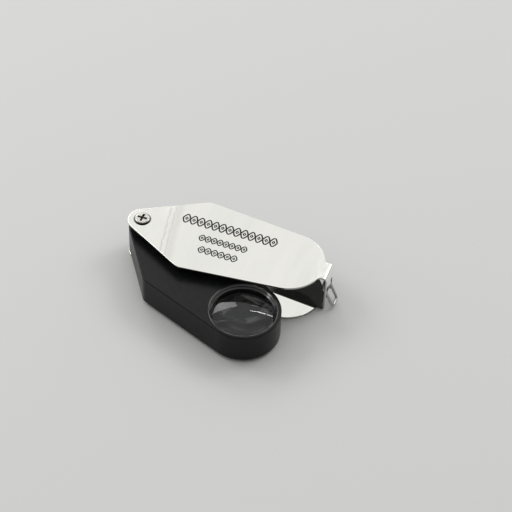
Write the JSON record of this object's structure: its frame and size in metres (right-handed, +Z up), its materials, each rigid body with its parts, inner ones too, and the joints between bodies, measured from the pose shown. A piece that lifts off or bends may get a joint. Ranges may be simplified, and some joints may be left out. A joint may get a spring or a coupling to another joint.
{
  "type": "viewing loupe",
  "caption": "Folding lit magnifier: a black lens body swings out of a polished U-shaped steel cover on a pivot screw, with a wire link at the strap.",
  "frame": {"origin": "the middle of the bottom plate's resting face", "axes": "+X from the pivot screw to the end strap, +Z up out of the cover's top plate"},
  "size_m": [0.0737, 0.0509, 0.0159],
  "materials": {
    "polished_steel": "mirror polished stamped steel sheet",
    "plated_steel": "bright plated steel fastener",
    "spring_steel": "dull spring steel",
    "slip_plastic": "natural slippery plastic",
    "black_plastic": "satin black moulded plastic",
    "black_screw_steel": "blackened steel screw",
    "lens_glass": "clear polished lens",
    "black_spacer": "matt black ring",
    "bezel_chrome": "black chrome plated ring",
    "black_ring": "black anodised ring",
    "led_resin": "clear epoxy lamp",
    "board_green": "solder mask on glass fibre board",
    "resistor_ceramic": "chip resistor",
    "cell_steel": "button cell can",
    "contact_nickel": "nickel plated spring strip",
    "contact_brass": "spring brass",
    "slider_plastic": "ribbed black plastic",
    "link_wire": "bright plated wire"
  },
  "bodies": {
    "cover": {"cover": "polished_steel", "pivot_screw": "plated_steel", "pivot_barrel": "plated_steel", "spring_washer": "spring_steel", "lower_washer": "slip_plastic"},
    "body": {"housing_shell": "black_plastic", "housing_base": "black_plastic", "housing_screws": "black_screw_steel", "battery_door": "black_plastic", "door_screw": "plated_steel", "lens_bezel": "bezel_chrome", "upper_lens": "lens_glass", "lens_spacer": "black_spacer", "lower_lens": "lens_glass", "lens_retainer": "black_ring", "led": "led_resin", "circuit_board": "board_green", "resistor": "resistor_ceramic", "battery_cell_1": "cell_steel", "battery_cell_2": "cell_steel", "battery_cell_3": "cell_steel", "contact_plate": "contact_nickel", "contact_spring": "contact_nickel"},
    "switch": {"switch_slider": "slider_plastic", "switch_wiper": "contact_brass"},
    "link": {"link": "link_wire"}
  },
  "joints": [
    {"name": "body_swing", "type": "hinge", "parent": "cover", "child": "body", "pos_m": [-0.03, 0, 0.00645], "axis": [0, 0, 1], "continuous": true},
    {"name": "switch_travel", "type": "slide", "parent": "body", "child": "switch", "axis": [0.8392, -0.5438, 0], "range_m": [0, 0.002]},
    {"name": "link_swing", "type": "hinge", "parent": "cover", "child": "link", "pos_m": [0.0356, 0, 0.00755], "axis": [0, -1, 0], "range_deg": [0, 132]}
  ]
}
